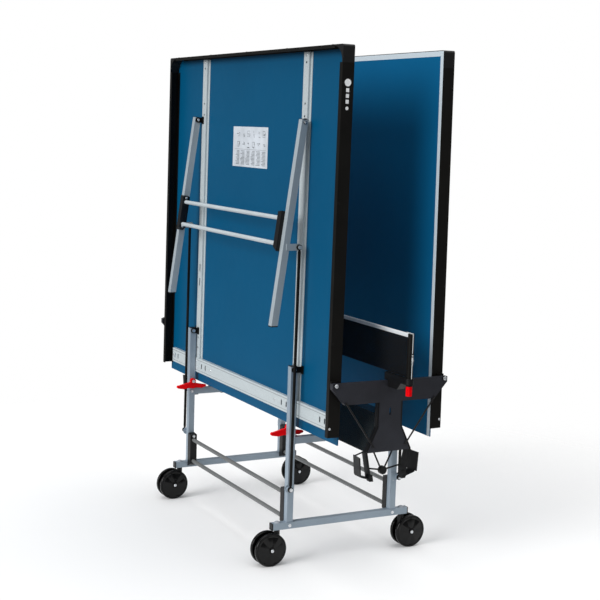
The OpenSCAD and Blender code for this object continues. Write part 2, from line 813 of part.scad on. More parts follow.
color(steel) foot_beam(-1);  // foot_beam_near
color(steel) foot_beam(1);  // foot_beam_far
color(steel) corner(-1, -1) post();  // post_near_left
color(steel) corner(1, -1) post();  // post_near_right
color(steel) corner(-1, 1) post();  // post_far_left
color(steel) corner(1, 1) post();  // post_far_right
color(steel) cross_beam(-1);  // cross_beam_near
color(steel) cross_beam(1);  // cross_beam_far
rod_brackets();
tie_rods(-1);  // tie_rods_left
tie_rods(1);  // tie_rods_right
tube_caps();
stem_caps();
carriage_bolts();
holder_plate(-1);  // holder_plate_near
holder_plate(1);  // holder_plate_far
ball_box(-1);  // ball_box_near
ball_box(1);  // ball_box_far
bat_pockets(-1);  // bat_pockets_near
bat_pockets(1);  // bat_pockets_far
holder_braces(-1);  // holder_braces_near
holder_braces(1);  // holder_braces_far
net_post(-1);  // net_post_near
net_post(1);  // net_post_far
net_clamps();
net();
net_tape();
net_cords();
net_knob(-1);  // net_knob_near
net_knob(1);  // net_knob_far
lock_lever(-1, -1);  // lock_lever_near_left
lock_lever(1, -1);  // lock_lever_near_right
lock_lever(-1, 1);  // lock_lever_far_left
lock_lever(1, 1);  // lock_lever_far_right
caster(-1, -1);  // caster_near_left
caster(1, -1);  // caster_near_right
caster(-1, 1);  // caster_far_left
caster(1, 1);  // caster_far_right
wheels(-1, -1);  // wheels_near_left
wheels(1, -1);  // wheels_near_right
wheels(-1, 1);  // wheels_far_left
wheels(1, 1);  // wheels_far_right
board(-1);  // board_left
board(1);  // board_right
apron(-1);  // apron_left
apron(1);  // apron_right
corner_covers(-1);  // corner_covers_left
corner_covers(1);  // corner_covers_right
underframe(-1);  // underframe_left
underframe(1);  // underframe_right
pivot_brackets(-1);  // pivot_brackets_left
pivot_brackets(1);  // pivot_brackets_right
legs(-1);  // legs_left
legs(1);  // legs_right
leg_ties(-1);  // leg_ties_left
leg_ties(1);  // leg_ties_right
leg_fittings(-1);  // leg_fittings_left
leg_fittings(1);  // leg_fittings_right
links(-1);  // links_left
links(1);  // links_right
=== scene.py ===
"""Looks of the folding table tennis table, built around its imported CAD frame."""

import math
import random

import bpy
from mathutils import Matrix, Vector


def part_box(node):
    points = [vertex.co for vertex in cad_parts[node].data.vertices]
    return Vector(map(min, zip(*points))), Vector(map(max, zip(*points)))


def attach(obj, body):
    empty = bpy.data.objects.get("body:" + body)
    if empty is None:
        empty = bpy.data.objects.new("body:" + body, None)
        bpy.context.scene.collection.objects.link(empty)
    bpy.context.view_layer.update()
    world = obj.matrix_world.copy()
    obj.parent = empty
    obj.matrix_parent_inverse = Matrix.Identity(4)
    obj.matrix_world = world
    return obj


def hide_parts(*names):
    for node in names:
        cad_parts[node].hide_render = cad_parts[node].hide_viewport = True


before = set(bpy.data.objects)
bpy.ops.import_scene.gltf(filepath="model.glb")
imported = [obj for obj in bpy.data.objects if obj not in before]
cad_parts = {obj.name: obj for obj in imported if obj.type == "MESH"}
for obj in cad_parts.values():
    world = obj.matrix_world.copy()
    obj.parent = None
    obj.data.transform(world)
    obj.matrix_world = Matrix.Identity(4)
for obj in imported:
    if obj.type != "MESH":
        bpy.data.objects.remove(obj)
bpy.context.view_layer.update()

SIDES = {"left": -1, "right": 1}
ENDS = {"near": -1, "far": 1}
MM = 0.001

# The frame's main measures, in metres, repeated from the CAD source
HINGE_X, HINGE_Z = 0.221, 0.725     # the axis that a half folds about, which is also where its posts stand
LEG_REACH = 0.887                   # from that axis to a leg's pivot
LEAN = math.radians(0.45)           # how far the stored halves lean inwards
HALF_WIDTH = 0.7625                 # the aprons' outer faces
POST_Y = 0.4675
BOARD_LIFT = 0.035                  # the playing face above the hinge axis, with the table open
APRON_MIDDLE = 0.0385               # depth of the aprons' middle below the playing face
LEG_SPREAD = 0.098                  # how far a leg's foot stands out from its pivot
LEG_LENGTH = 0.725


# ---------- camera, light and floor ----------

CAMERA_PLACE = (-2.3578, -4.5538, 1.5958)
CAMERA_TURN = (-27.838, 7.617, 1.757)    # azimuth, pitch and roll in degrees
CAMERA_LENS = 77.56


def make_camera():
    azimuth, pitch, roll = (math.radians(angle) for angle in CAMERA_TURN)
    back = Vector((math.sin(azimuth) * math.cos(pitch), -math.cos(azimuth) * math.cos(pitch),
                   math.sin(pitch)))
    level = Vector((math.cos(azimuth), math.sin(azimuth), 0))
    upright = level.cross(-back)
    right = level * math.cos(roll) + upright * math.sin(roll)
    up = upright * math.cos(roll) - level * math.sin(roll)
    data = bpy.data.cameras.new("camera")
    data.sensor_width = 36
    data.lens = CAMERA_LENS
    camera = bpy.data.objects.new("camera", data)
    turn = Matrix((right, up, back)).transposed().to_4x4()
    camera.matrix_world = Matrix.Translation(CAMERA_PLACE) @ turn
    bpy.context.scene.collection.objects.link(camera)
    bpy.context.scene.camera = camera


def soft_light(name, direction, spread, strength):
    """A distant light from a direction; a wide spread gives a studio softbox's soft shadows."""
    data = bpy.data.lights.new(name, "SUN")
    data.angle = math.radians(spread)
    data.energy = strength
    light = bpy.data.objects.new(name, data)
    light.location = Vector(direction) * 6
    light.rotation_euler = Vector(direction).to_track_quat("Z", "Y").to_euler()
    bpy.context.scene.collection.objects.link(light)


def make_studio():
    scene = bpy.context.scene
    scene.view_settings.view_transform = "Standard"
    world = bpy.data.worlds.new("studio")
    world.use_nodes = True
    nodes, links = world.node_tree.nodes, world.node_tree.links
    seen = nodes["Background"]
    seen.inputs["Color"].default_value = (1, 1, 1, 1)
    fill = nodes.new("ShaderNodeBackground")
    fill.inputs["Color"].default_value = (0.94, 0.97, 1, 1)
    fill.inputs["Strength"].default_value = 0.22
    choice = nodes.new("ShaderNodeMixShader")
    links.new(nodes.new("ShaderNodeLightPath").outputs["Is Camera Ray"], choice.inputs[0])
    links.new(fill.outputs[0], choice.inputs[1])
    links.new(seen.outputs[0], choice.inputs[2])
    links.new(choice.outputs[0], nodes["World Output"].inputs["Surface"])
    scene.world = world
    soft_light("top", (0.15, -0.1, 1), 110, 2.4)
    soft_light("key", (-0.93, -0.16, 0.38), 35, 2.6)
    bpy.ops.mesh.primitive_circle_add(vertices=128, radius=4.2, fill_type="NGON")
    floor = bpy.context.object
    floor.name = "studio_floor"
    look = Look("studio_floor", (0.9, 0.9, 0.9), 0.9, Specular_IOR_Level=0.05)
    look.vary_color(look.noise(1.5, 3), (0.89, 0.89, 0.89), (0.91, 0.91, 0.91))
    look.bump(look.noise(300, 2), 0.0002, 0.1)
    # the sweep melts into the white background
    distance = look.node("ShaderNodeVectorMath", {0: look.place}, operation="LENGTH").outputs["Value"]
    edge = look.node("ShaderNodeMapRange",
                     {"Value": distance, "From Min": 0.9, "From Max": 2.7, "To Min": 1.0, "To Max": 0.0},
                     interpolation_type="SMOOTHSTEP").outputs[0]
    look.links.new(edge, look.shader.inputs["Alpha"])
    look.apply(floor)


# ---------- materials ----------

def rgb(red, green, blue):
    """A display colour, 0 to 255, as the linear values that shaders take."""
    return tuple(((c / 255 + 0.055) / 1.055) ** 2.4 if c > 10 else c / 255 / 12.92
                 for c in (red, green, blue))


def scaled(color, factor):
    """A lighter or darker version of a colour."""
    return [min(1, c * factor) for c in color]


class Look:
    """A material around one Principled shader, with short ways to add procedural detail."""

    def __init__(self, name, color, roughness, metallic=0.0, **sockets):
        self.material = bpy.data.materials.new(name)
        self.material.use_nodes = True
        self.nodes = self.material.node_tree.nodes
        self.links = self.material.node_tree.links
        self.shader = self.nodes["Principled BSDF"]
        self.put("Base Color", (*color, 1))
        self.put("Roughness", roughness)
        self.put("Metallic", metallic)
        for socket, value in sockets.items():
            self.put(socket.replace("_", " "), value)
        self.coords = self.nodes.new("ShaderNodeTexCoord")
        self.place = self.coords.outputs["Object"]
        self.height = None

    def put(self, socket, value):
        self.shader.inputs[socket].default_value = value

    def node(self, kind, inputs=(), **settings):
        node = self.nodes.new(kind)
        for setting, value in settings.items():
            setattr(node, setting, value)
        for key, value in dict(inputs).items():
            if isinstance(value, bpy.types.NodeSocket):
                self.links.new(value, node.inputs[key])
            else:
                node.inputs[key].default_value = value
        return node

    def math(self, operation, first, second=0.0, third=0.0):
        return self.node("ShaderNodeMath", {0: first, 1: second, 2: third}, operation=operation).outputs[0]

    def axis(self, name, source=None):
        split = self.node("ShaderNodeSeparateXYZ", {0: source or self.place})
        return split.outputs[name]

    def stretched(self, factors):
        return self.node("ShaderNodeMapping", {"Vector": self.place, "Scale": factors}).outputs[0]

    def noise(self, scale, detail=2.0, stretch=None, rough=0.5):
        source = self.stretched(stretch) if stretch else self.place
        return self.node("ShaderNodeTexNoise", {"Vector": source, "Scale": scale, "Detail": detail,
                                                "Roughness": rough}).outputs["Fac"]

    def cells(self, scale, output="Color"):
        return self.node("ShaderNodeTexVoronoi", {"Vector": self.place, "Scale": scale}).outputs[output]

    def span(self, value, low, high, start=0.0, end=1.0):
        return self.node("ShaderNodeMapRange", {"Value": value, "From Min": start, "From Max": end,
                                                "To Min": low, "To Max": high}).outputs[0]

    def blend(self, share, first, second):
        mix = self.node("ShaderNodeMix", data_type="RGBA")
        for index, value in ((0, share), (6, first), (7, second)):
            if isinstance(value, bpy.types.NodeSocket):
                self.links.new(value, mix.inputs[index])
            else:
                mix.inputs[index].default_value = value if index == 0 else (*value, 1)
        return mix.outputs[2]

    def color(self, socket):
        self.links.new(socket, self.shader.inputs["Base Color"])

    def vary_color(self, share, first, second):
        self.color(self.blend(share, first, second))

    def vary_roughness(self, share, low, high):
        self.links.new(self.span(share, low, high), self.shader.inputs["Roughness"])

    def bump(self, height, distance, strength=1.0):
        inputs = {"Height": height, "Distance": distance, "Strength": strength}
        if self.height:
            inputs["Normal"] = self.height
        self.height = self.node("ShaderNodeBump", inputs).outputs[0]
        self.links.new(self.height, self.shader.inputs["Normal"])

    def apply(self, *objects):
        for thing in objects:
            if not thing.material_slots:
                thing.data.materials.append(self.material)
            for slot in thing.material_slots:
                slot.material = self.material


def silver_paint(name, base):
    """Silver powder coat: fine metal flake under a faintly rippled skin."""
    look = Look(name, base, 0.42, 0.15, Coat_Weight=0.1, Coat_Roughness=0.3)
    flake = look.cells(1400)
    shade = look.noise(7, 4)
    toned = look.blend(look.span(shade, 0, 1, 0.3, 0.7), scaled(base, 0.93), scaled(base, 1.06))
    look.color(look.blend(look.math("MULTIPLY", look.axis("X", flake), 0.2), toned, scaled(base, 1.5)))
    look.vary_roughness(look.noise(60, 3), 0.36, 0.5)
    look.bump(look.noise(650, 2), 0.00025, 0.25)
    return look


# The cross rail of a stored half, in metres
CROSS_RAIL_TOP = 0.612                                 # height of its upper edge
RAIL_GROOVES = ((0.6005, 0.0011), (0.5575, 0.0009))    # heights and half widths of its grooves


def galvanised(name):
    """Rolled zinc-coated steel: faint crystals, drawing marks along each kind of rail, and painted shade
    along the cross rail's grooves.
    """
    base = rgb(190, 199, 202)
    look = Look(name, base, 0.4, 0.12)
    crystal = look.cells(260)
    height = look.axis("Z")
    upright = look.noise(420, 3, stretch=(1, 1, 0.03))
    level = look.noise(420, 3, stretch=(1, 0.03, 1))
    on_cross_rail = look.math("LESS_THAN", height, CROSS_RAIL_TOP)
    grain = look.node("ShaderNodeMix", {0: on_cross_rail, 2: upright, 3: level}).outputs[0]
    tone = look.blend(look.axis("X", crystal), scaled(base, 0.94), scaled(base, 1.05))
    drawn = look.blend(look.span(grain, 0, 0.3, 0.4, 0.75), tone, scaled(base, 0.72))
    # painted shade: the grooves' colour is pulled far darker than the zinc, standing in for shade in their
    # recesses; the bump below shapes them
    groove_shade = look.math("MAXIMUM", *(
        look.math("LESS_THAN", look.math("ABSOLUTE", look.math("SUBTRACT", height, middle)), half_width)
        for middle, half_width in RAIL_GROOVES))
    look.color(look.blend(look.math("MULTIPLY", groove_shade, 0.75), drawn, scaled(base, 0.3)))
    look.bump(look.math("SUBTRACT", 1.0, groove_shade), 0.0008, 0.5)
    look.vary_roughness(look.axis("Y", crystal), 0.32, 0.44)
    look.bump(grain, 0.0002, 0.15)
    return look


def zinc_bolts(name):
    look = Look(name, rgb(214, 217, 220), 0.26, 0.8)
    look.vary_color(look.noise(140, 3), rgb(196, 201, 205), rgb(236, 238, 240))
    look.vary_roughness(look.noise(420, 3), 0.2, 0.36)
    look.bump(look.noise(900, 2), 0.0001, 0.3)
    return look


def black_paint(name, light=1.0):
    """Black powder coat with orange peel."""
    base = [c * light for c in rgb(18, 17, 15)]
    look = Look(name, base, 0.4, 0.0, Specular_IOR_Level=0.14)
    look.vary_color(look.span(look.noise(9, 4), 0, 1, 0.3, 0.7), scaled(base, 0.8), scaled(base, 1.25))
    look.vary_roughness(look.noise(38, 3), 0.34, 0.48)
    look.bump(look.noise(720, 2), 0.0003, 0.3)
    return look


def moulded_plastic(name, base, roughness=0.5, grain=0.3, gloss=0.0, shine=0.3):
    """Injection-moulded plastic with an eroded fine texture."""
    look = Look(name, base, roughness, 0.0, Coat_Weight=gloss, Coat_Roughness=0.12,
                Specular_IOR_Level=shine)
    look.vary_color(look.span(look.noise(14, 4), 0, 1, 0.3, 0.7), scaled(base, 0.86), scaled(base, 1.14))
    look.vary_roughness(look.noise(90, 3), roughness - 0.06, roughness + 0.08)
    look.bump(look.cells(1300, "Distance"), 0.00025, grain)
    return look


EDGE_LINE = 0.018             # width of the white lines along the board's edges
CENTRE_LINE = 0.003


def board_coating(name, sign, node):
    """Blue coating: satin underneath, matt on the playing face, with white lines whose blue-grey tone is
    partly painted shade.
    """
    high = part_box(node)[1]
    look = Look(name, rgb(0, 71, 108), 0.45, 0.0, Specular_IOR_Level=0.12)
    outward = look.math("MULTIPLY", look.axis("X", look.coords.outputs["Normal"]), -sign)
    facing = look.math("GREATER_THAN", outward, 0.5)
    cloud = look.span(look.noise(2.2, 4), 0, 1, 0.3, 0.7)
    under = look.blend(cloud, rgb(0, 74, 110), rgb(0, 78, 115))
    play = look.blend(cloud, rgb(0, 84, 126), rgb(0, 89, 132))
    across = look.math("ABSOLUTE", look.axis("Y"))
    side_line = look.math("GREATER_THAN", across, high.y - EDGE_LINE)
    end_line = look.math("GREATER_THAN", look.axis("Z"), high.z - EDGE_LINE)
    centre_line = look.math("LESS_THAN", across, CENTRE_LINE / 2)
    lines = look.math("MAXIMUM", look.math("MAXIMUM", side_line, end_line), centre_line)
    paint = look.math("MULTIPLY", lines, facing)
    # the lines are real white print, dimmed here to a pale blue-grey: painted shade in their colour
    chalk = look.blend(look.noise(300, 3), rgb(186, 197, 204), rgb(200, 210, 216))
    look.color(look.blend(paint, look.blend(facing, under, play), chalk))
    satin = look.span(look.noise(24, 3), 0.36, 0.46)
    roughness = look.math("ADD", satin, look.math("MULTIPLY", facing, 0.16))
    look.links.new(roughness, look.shader.inputs["Roughness"])
    look.bump(look.noise(1500, 2), 0.0002, 0.25)
    look.bump(paint, 0.00015, 0.6)
    return look


def woven_black(name):
    look = Look(name, rgb(9, 9, 10), 0.8, 0.0, Sheen_Weight=0.03, Specular_IOR_Level=0.15)
    look.vary_color(look.noise(500, 3), rgb(2, 2, 2), rgb(7, 7, 8))
    look.bump(look.noise(2600, 2, stretch=(1, 1, 0.3)), 0.0003, 0.6)
    return look


def woven_tape(name):
    look = Look(name, rgb(225, 228, 230), 0.7, 0.0, Sheen_Weight=0.2)
    weave = look.node("ShaderNodeTexWave", {"Vector": look.place, "Scale": 260.0, "Distortion": 0.4},
                      bands_direction="DIAGONAL").outputs["Fac"]
    rib = look.node("ShaderNodeTexWave", {"Vector": look.place, "Scale": 420.0, "Distortion": 0.3},
                    bands_direction="Y").outputs["Fac"]
    look.vary_color(look.math("MULTIPLY", weave, look.noise(30, 3)), rgb(206, 210, 213), rgb(240, 242, 243))
    look.bump(weave, 0.0003, 0.5)
    look.bump(rib, 0.0003, 0.4)
    return look


def braided_cord(name):
    look = Look(name, rgb(205, 208, 208), 0.65)
    strands = look.node("ShaderNodeTexWave", {"Vector": look.place, "Scale": 190.0, "Distortion": 0.6},
                        bands_direction="DIAGONAL").outputs["Fac"]
    look.vary_color(strands, rgb(150, 156, 158), rgb(226, 230, 230))
    look.bump(strands, 0.0005, 0.8)
    return look


# ---------- mesh building ----------

class Shape:
    """Vertices and faces gathered from several parts, in the frame of the CAD model, in metres."""

    def __init__(self):
        self.points, self.faces, self.slots = [], [], []

    def add(self, points, faces, matrix=None, slot=0):
        base = len(self.points)
        matrix = matrix or Matrix.Identity(4)
        self.points += [matrix @ Vector(p) for p in points]
        flip = matrix.determinant() < 0
        for face in faces:
            face = [base + i for i in face]
            self.faces.append(face[::-1] if flip else face)
            self.slots.append(slot)
        return self

    def piece(self, name, body, slot, looks, sharp=35):
        mesh = bpy.data.meshes.new(name)
        mesh.from_pydata([tuple(p) for p in self.points], [], self.faces)
        mesh.validate()
        for look in looks:
            mesh.materials.append(look.material)
        mesh.polygons.foreach_set("material_index", self.slots)
        mesh.shade_smooth()
        mesh.set_sharp_from_angle(angle=math.radians(sharp))
        thing = bpy.data.objects.new(name, mesh)
        bpy.context.scene.collection.objects.link(thing)
        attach(thing, body)
        return thing


def lathe(profile, segments=64):
    """A solid of revolution about Z from (radius, height) points; an end on the axis is closed."""
    points, faces = [], []
    rings = []
    for radius, height in profile:
        if radius < 1e-9:
            rings.append([len(points)])
            points.append((0, 0, height))
        else:
            rings.append(list(range(len(points), len(points) + segments)))
            turns = [2 * math.pi * i / segments for i in range(segments)]
            points += [(radius * math.cos(a), radius * math.sin(a), height) for a in turns]
    for first, second in zip(rings, rings[1:]):
        for i in range(segments):
            j = (i + 1) % segments
            if len(first) == 1:
                faces.append((first[0], second[j], second[i]))
            elif len(second) == 1:
                faces.append((first[i], first[j], second[0]))
            else:
                faces.append((first[i], first[j], second[j], second[i]))
    return points, faces


def tube_along(path, radius, sides=8, closed=False):
    """A round bead along a path of points; radius may change from point to point."""
    count = len(path)
    radii = radius if isinstance(radius, list) else [radius] * count
    points, faces = [], []
    for i, here in enumerate(path):
        here = Vector(here)
        before = Vector(path[(i - 1) % count] if closed or i else path[0])
        after = Vector(path[(i + 1) % count] if closed or i < count - 1 else path[-1])
        along = (after - before).normalized()
        side = along.cross(Vector((0, 0, 1)) if abs(along.z) < 0.9 else Vector((1, 0, 0))).normalized()
        lift = side.cross(along)
        for k in range(sides):
            angle = 2 * math.pi * k / sides
            points.append(here + (side * math.cos(angle) + lift * math.sin(angle)) * radii[i])
    for i in range(count if closed else count - 1):
        j = (i + 1) % count
        for k in range(sides):
            m = (k + 1) % sides
            faces.append((i * sides + k, i * sides + m, j * sides + m, j * sides + k))
    if not closed:
        faces.append(tuple(range(sides))[::-1])
        faces.append(tuple(range((count - 1) * sides, count * sides)))
    return points, faces


def facing(place, direction):
    """A matrix that puts local Z along direction, at place."""
    return Matrix.Translation(place) @ Vector(direction).to_track_quat("Z", "Y").to_matrix().to_4x4()


def dome_head(radius, height, socket=0.45):
    """A bolt head: low dome with a small hexagon socket."""
    inner = radius * socket
    profile = [(radius, 0), (radius, height * 0.35), (radius * 0.93, height * 0.62),
               (radius * 0.75, height * 0.86), (inner * 1.15, height), (inner, height * 0.96),
               (inner * 0.95, height * 0.45), (0, height * 0.4)]
    return lathe([(r * MM, h * MM) for r, h in profile], 24)


# ---------- pieces ----------

# Wheels, in millimetres
WHEEL_GAP = 11.6              # from the middle of a caster to the inner face of each wheel
WHEEL_FACETS = 7
FACE_EDGE, FACE_CENTRE = 54.2, 12       # radii between which a wheel's outer face is faceted
FACE_LEVEL = 15.45            # the outer face starts at this height above the inner one
FACET_DEPTH = 2.4
BOLT_LEVEL = 35.7             # the axle bolts' heads start here, from the middle of the caster


def faceted(points):
    """Give the outer face of a wheel shallow flats that meet in ridges, like an umbrella's."""
    shaped = []
    for x, y, z in points:
        radius = math.hypot(x, y) / MM
        rise = 0.0
        if z > FACE_LEVEL * MM and FACE_CENTRE < radius < FACE_EDGE:
            turn = math.atan2(y, x) / (2 * math.pi) * WHEEL_FACETS % 1
            fade = min(1, (FACE_EDGE - radius) / 4) * min(1, (radius - FACE_CENTRE) / 8)
            rise = -FACET_DEPTH * fade * (1 - abs(turn * 2 - 1)) * radius / 54
        shaped.append((x, y, z + rise * MM))
    return shaped


def wheel_profile():
    """Radii and heights of one wheel's section, from its inner face round the tread to the outer one."""
    def arc(radius, height, degrees):
        """Points on the tread's rounded edge, 5 mm in radius."""
        turns = [math.radians(d) for d in degrees]
        return [(radius + 5 * math.cos(a), height + 5 * math.sin(a)) for a in turns]

    rim = [(5.3, 0), (12, 0), (13, 1.2), (45.5, 1.2), (47, 0), (56.5, 0)]
    tread = arc(57.5, 5, (-75, -55, -35, -15, 0))
    tread += [(62.5, 7.0), (62.15, 7.3), (62.15, 7.9), (62.5, 8.2)]
    tread += arc(57.5, 10.2, (0, 20, 40, 60, 80, 92))
    step = [(56.6, 15.2), (56.0, 14.2), (55.0, 14.2), (54.4, 15.4)]
    face = []
    radius = 54.0
    while radius > 12:
        face.append((radius, 15.5 + 4.9 * (1 - (radius / 54) ** 2)))
        radius -= 1.5
    hub = [(11.6, 20.6), (10.6, 19.2), (5.3, 19.2)]
    return [(r * MM, h * MM) for r, h in rim + tread + step + face + hub]


def make_wheels(looks):
    profile = wheel_profile()
    for end, sy in ENDS.items():
        for side, sx in SIDES.items():
            low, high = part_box(f"wheels_{end}_{side}")
            centre = (low + high) / 2
            pair = Shape()
            for out in (-1, 1):
                turn = Matrix.Rotation(math.radians(90 * -out), 4, "X")
                place = Matrix.Translation(centre + Vector((0, out * WHEEL_GAP * MM, 0))) @ turn
                points, faces = lathe(profile, 108)
                pair.add(faceted(points), faces, place @ Matrix.Rotation(out * 0.5 + sx * 0.3, 4, "Z"))
            wheels = pair.piece(f"twin_wheels_{end}_{side}", f"wheel_pair_{end}_{side}", "wheel_plastic",
                                [looks["wheel"]], 30)
            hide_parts(f"wheels_{end}_{side}")
            bolts = Shape()
            for out in (-1, 1):
                axle_end = centre + Vector((0, out * BOLT_LEVEL * MM, 0))
                bolts.add(*dome_head(6.2, 2.6), facing(axle_end, (0, out, 0)))
            bolts.piece(f"axle_bolts_{end}_{side}", f"fork_{end}_{side}", "zinc_bolts", [looks["bolts"]])


# The net and its tape, in metres
STRING_PITCH = 4.5 * MM
STRING_RADIUS = 1.15 * MM
STRING_WAVE = 0.45 * MM       # how far the strings weave to either side
TAPE_WIDTH = 3.4 * MM
TAPE_STEPS = 180              # stations along the tape
STITCH_GAP = 5.0 * MM
STITCH_HEIGHT = 2.4 * MM      # above the tape's lower edge
# The folded tape's section: points across and up, as shares of its width and height
TAPE_SECTION = [(0.5, 0.06), (0.5, 0.84), (0.40, 0.95), (0.2, 1.0), (-0.2, 1.0), (-0.40, 0.95),
                (-0.5, 0.84), (-0.5, 0.06), (-0.42, 0.0), (-0.16, 0.0), (-0.12, 0.1), (0.12, 0.1),
                (0.16, 0.0), (0.42, 0.0)]


def net_string(path, level, points, faces):
    """Add one string along a path that runs level or upright, as a tube with a square section."""
    base = len(points)
    for x, y, z in path:
        for dx, dn in ((STRING_RADIUS, 0), (0, STRING_RADIUS), (-STRING_RADIUS, 0), (0, -STRING_RADIUS)):
            points.append((x + dx, y, z + dn) if level else (x + dx, y + dn, z))
    sides = []
    for a in range(base, base + 4 * (len(path) - 1), 4):
        for k in range(4):
            m = (k + 1) % 4
            sides.append((a + k, a + m, a + 4 + m, a + 4 + k))
    first = tuple(range(base, base + 4))
    last = tuple(range(len(points) - 4, len(points)))
    for face in (*sides, first[::-1], last):
        faces.append(face[::-1] if level else face)


def net_strings(low, high):
    """Knitted strings that pass over and under each other, and fill the box between two corners."""
    columns = int((high.y - low.y) / STRING_PITCH)
    rows = int((high.z - low.z) / STRING_PITCH)
    across = [low.y + STRING_RADIUS + i * (high.y - low.y - 2 * STRING_RADIUS) / columns
              for i in range(columns + 1)]
    up = [low.z + STRING_RADIUS + j * (high.z - low.z - 2 * STRING_RADIUS) / rows
          for j in range(rows + 1)]
    points, faces = [], []
    for i, y in enumerate(across):
        upright = [(STRING_WAVE * (1 if (i + j) % 2 else -1), y, z) for j, z in enumerate(up)]
        net_string(upright, False, points, faces)
    for j, z in enumerate(up):
        level = [(STRING_WAVE * (-1 if (i + j) % 2 else 1), y, z) for i, y in enumerate(across)]
        net_string(level, True, points, faces)
    return points, faces


def folded_tape(low, high):
    """A tape along Y between two corners, slightly puckered as if sewn by hand."""
    rng = random.Random(5)
    points, faces = [], []
    for i in range(TAPE_STEPS + 1):
        y = low.y + (high.y - low.y) * i / TAPE_STEPS
        sway = 0.12 * MM * math.sin(i * 0.9) + rng.uniform(-0.08, 0.08) * MM
        pucker = 1 + 0.05 * math.sin(i * 2.3) + rng.uniform(-0.03, 0.03)
        points += [(a * TAPE_WIDTH * pucker + sway, y, low.z + b * (high.z - low.z))
                   for a, b in TAPE_SECTION]
    size = len(TAPE_SECTION)
    for i in range(TAPE_STEPS):
        for k in range(size):
            m = (k + 1) % size
            faces.append((i * size + k, (i + 1) * size + k, (i + 1) * size + m, i * size + m))
    faces.append(tuple(range(size)))
    faces.append(tuple(TAPE_STEPS * size + k for k in range(size))[::-1])
    return points, faces


def make_net(looks):
    """The woven net and the stitched tape folded over its top string."""
    low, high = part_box("net")
    strings = Shape().add(*net_strings(low, high))
    mesh_net = strings.piece("net_mesh", "carriage", "net_mesh", [looks["net"]], 180)
    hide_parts("net")
    tape_low, tape_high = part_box("net_tape")
    band = Shape().add(*folded_tape(tape_low, tape_high))
    z = tape_low.z + STITCH_HEIGHT
    for i in range(int((tape_high.y - tape_low.y) / STITCH_GAP)):
        y = tape_low.y + (i + 0.5) * STITCH_GAP
        for face in (-1, 1):
            x = face * (TAPE_WIDTH / 2 + 0.15 * MM)
            stitch = [(x, y - 1.5 * MM, z), (x + face * 0.25 * MM, y, z), (x, y + 1.5 * MM, z)]
            band.add(*tube_along(stitch, 0.3 * MM, 5), slot=1)
    tape = band.piece("net_band", "carriage", "net_tape", [looks["tape"], looks["thread"]], 60)
    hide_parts("net_tape")


def stored(side, along, across, depth):
    """A point on a stored half: along it from the net edge, across it, and below its playing face."""
    dx, dz = along - HINGE_X, BOARD_LIFT - depth
    x = HINGE_X - dx * math.sin(LEAN) - dz * math.cos(LEAN)
    z = HINGE_Z + dx * math.cos(LEAN) - dz * math.sin(LEAN)
    return Vector((SIDES[side] * x, across, z))


def leg_pivot(side, y):
    """Where a leg turns on its stored half."""
    x = HINGE_X - LEG_REACH * math.sin(LEAN)
    return Vector((SIDES[side] * x, y, HINGE_Z + LEG_REACH * math.cos(LEAN)))


def half_axes(side):
    """Directions along the stored board, and out of its underside."""
    origin = stored(side, 0, 0, 0)
    along = (stored(side, 1, 0, 0) - origin).normalized()
    out = (stored(side, 0, 0, 1) - origin).normalized()
    return along, out


def make_screws(looks):
    """Screws in the aprons and rails of each half, and the bright heads of its pivots."""
    for side, sx in SIDES.items():
        along, out = half_axes(side)
        heads, rivets = Shape(), Shape()
        for sy in ENDS.values():
            place = stored(side, 0.065, sy * HALF_WIDTH, APRON_MIDDLE)
            heads.add(*dome_head(4.4, 2.0, 0.4), facing(place, (0, sy, 0)))
            for u in (0.36, 0.84, 1.24):
                place = stored(side, u, sy * HALF_WIDTH, APRON_MIDDLE)
                rivets.add(*dome_head(4.2, 1.6, 0.3), facing(place, (0, sy, 0)))
            for u, y, depth in ((1.344, 0.448, 0.015), (0.060, 0.448, 0.019), (0.092, 0.448, 0.019),
                                (0.075, 0.30, 0.019), (0.075, 0.705, 0.019)):
                heads.add(*dome_head(5.0, 2.4, 0.4), facing(stored(side, u, sy * y, depth), out))
            hinge_pin_end = Vector((sx * HINGE_X, sy * 0.7947, HINGE_Z))
            heads.add(*dome_head(7.0, 3.2, 0.4), facing(hinge_pin_end, (0, sy, 0)))
            for y, way, radius in ((0.4947, sy, 4.2), (0.4588, -sy, 5.0)):
                heads.add(*dome_head(radius, 2.4, 0.4), facing(leg_pivot(side, sy * y), (0, way, 0)))
        for y in (-0.68, -0.34, 0.0, 0.34, 0.68):
            rivets.add(*dome_head(4.2, 1.6, 0.3), facing(stored(side, 1.37, y, APRON_MIDDLE), along))
        heads.piece(f"screws_{side}", f"half_{side}", "zinc_bolts", [looks["bolts"]])
        rivets.piece(f"rivets_{side}", f"half_{side}", "black_paint", [looks["apron"]])


def make_leg_screws(looks):
    """The screws on the inner faces of the brackets that hold the ties between the legs."""
    tilt = math.atan(LEG_SPREAD / LEG_LENGTH)
    aside = 0.012                    # from the line between a leg's pivot and its foot
    bracket_top = 0.318              # down the leg from its pivot
    face_y = 0.4665 - 0.028          # the legs' inner faces, less the brackets' depth
    for side, sx in SIDES.items():
        heads = Shape()
        for sy in ENDS.values():
            pivot = leg_pivot("right", sy * face_y)
            for drop in (bracket_top + 0.0105, bracket_top + 0.128):
                x = pivot.x + aside * math.cos(tilt) + drop * math.sin(tilt)
                z = pivot.z + aside * math.sin(tilt) - drop * math.cos(tilt)
                heads.add(*dome_head(4.6, 2.4, 0.4), facing(Vector((sx * x, pivot.y, z)), (0, -sy, 0)))
        heads.piece(f"bracket_screws_{side}", f"leg_frame_{side}", "zinc_bolts", [looks["bolts"]])


